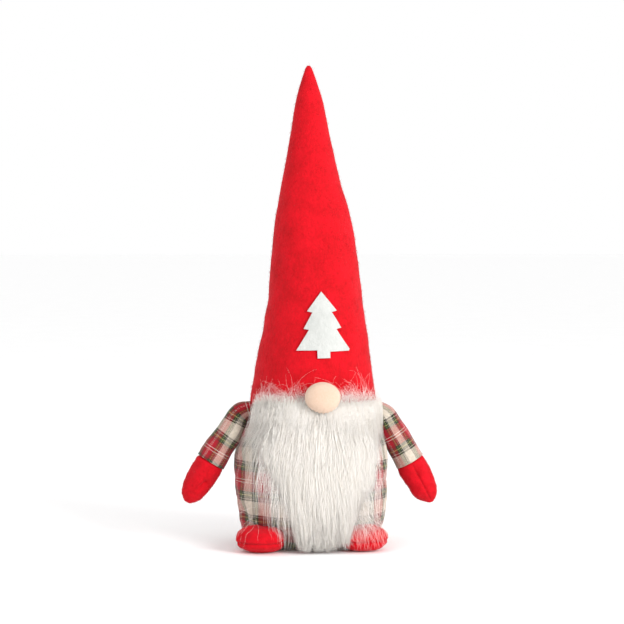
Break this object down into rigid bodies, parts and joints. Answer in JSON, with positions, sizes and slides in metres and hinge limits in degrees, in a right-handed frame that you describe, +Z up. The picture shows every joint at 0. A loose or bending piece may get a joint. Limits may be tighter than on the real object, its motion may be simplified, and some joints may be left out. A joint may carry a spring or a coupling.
{
  "type": "stuffed gnome figurine",
  "caption": "Free-standing stuffed cloth gnome with a tall felt hat, a ball nose, a long fur beard, tartan body and arms, and felt mittens and feet.",
  "frame": {"origin": "on the floor, under the middle of the figure's outer box", "axes": "+Z up the hat, -Y the way the figure faces, +X to the figure's own left"},
  "size_m": [0.2564, 0.1463, 0.4805],
  "materials": {
    "tartan": "yarn-dyed twill tartan, cream ground with red, dark green and black bands",
    "base_cloth": "the same tartan twill",
    "red_felt": "soft brushed red felt",
    "white_felt": "soft white felt",
    "fur": "long-pile white faux fur",
    "backing": "knitted fur backing",
    "jersey": "fine skin-coloured jersey",
    "stuffing": "loose polyester fibre",
    "card": "plain grey-brown card",
    "calico": "plain-woven undyed cotton",
    "pellets": "small plastic beads"
  },
  "bodies": {
    "torso": {"body_front_panel": "tartan", "body_back_panel": "tartan", "base_panel": "base_cloth", "base_board": "card", "ballast_bag": "calico", "ballast_pellets": "pellets", "body_stuffing": "stuffing", "nose_cover": "jersey", "nose_core": "stuffing"},
    "hat": {"hat_shell": "red_felt", "hat_stuffing": "stuffing", "tree_applique": "white_felt"},
    "beard": {"beard_backing": "backing", "beard_fur": "fur"},
    "right_shoulder": {"right_shoulder_tab": "calico"},
    "right_arm": {"right_sleeve": "tartan", "right_mitten_front": "red_felt", "right_mitten_back": "red_felt", "right_arm_stuffing": "stuffing"},
    "left_shoulder": {"left_shoulder_tab": "calico"},
    "left_arm": {"left_sleeve": "tartan", "left_mitten_outer": "red_felt", "left_mitten_inner": "red_felt", "left_arm_stuffing": "stuffing"},
    "right_foot": {"right_foot_upper": "red_felt", "right_foot_sole": "red_felt", "right_foot_stuffing": "stuffing"},
    "left_foot": {"left_foot_upper": "red_felt", "left_foot_sole": "red_felt", "left_foot_stuffing": "stuffing"}
  },
  "joints": [
    {"name": "hat_lean", "type": "hinge", "parent": "torso", "child": "hat", "pos_m": [0.002, 0.0095, 0.143], "axis": [0, 1, 0], "range_deg": [-7, 7], "stiffness_Nm_per_rad": 1},
    {"name": "beard_lift", "type": "hinge", "parent": "torso", "child": "beard", "pos_m": [-0.002, -0.0395, 0.131], "axis": [-1, 0, 0], "range_deg": [0, 55]},
    {"name": "right_arm_raise", "type": "hinge", "parent": "torso", "child": "right_shoulder", "pos_m": [-0.0758, 0.0095, 0.128], "axis": [0, 1, 0], "range_deg": [-4, 80], "stiffness_Nm_per_rad": 0.05},
    {"name": "right_arm_swing", "type": "hinge", "parent": "right_shoulder", "child": "right_arm", "pos_m": [-0.0758, 0.0095, 0.128], "axis": [-1, 0, 0], "range_deg": [-40, 65], "stiffness_Nm_per_rad": 0.05},
    {"name": "left_arm_raise", "type": "hinge", "parent": "torso", "child": "left_shoulder", "pos_m": [0.0772, 0.0095, 0.127], "axis": [0, -1, 0], "range_deg": [-4, 80], "stiffness_Nm_per_rad": 0.05},
    {"name": "left_arm_swing", "type": "hinge", "parent": "left_shoulder", "child": "left_arm", "pos_m": [0.0772, 0.0095, 0.127], "axis": [-1, 0, 0], "range_deg": [-40, 65], "stiffness_Nm_per_rad": 0.05},
    {"name": "right_foot_tilt", "type": "hinge", "parent": "torso", "child": "right_foot", "pos_m": [-0.0545, -0.029, 0.024], "axis": [-1, 0, 0], "range_deg": [0, 30], "stiffness_Nm_per_rad": 0.05},
    {"name": "left_foot_tilt", "type": "hinge", "parent": "torso", "child": "left_foot", "pos_m": [0.0465, -0.0356, 0.024], "axis": [-1, 0, 0], "range_deg": [0, 30], "stiffness_Nm_per_rad": 0.05}
  ]
}
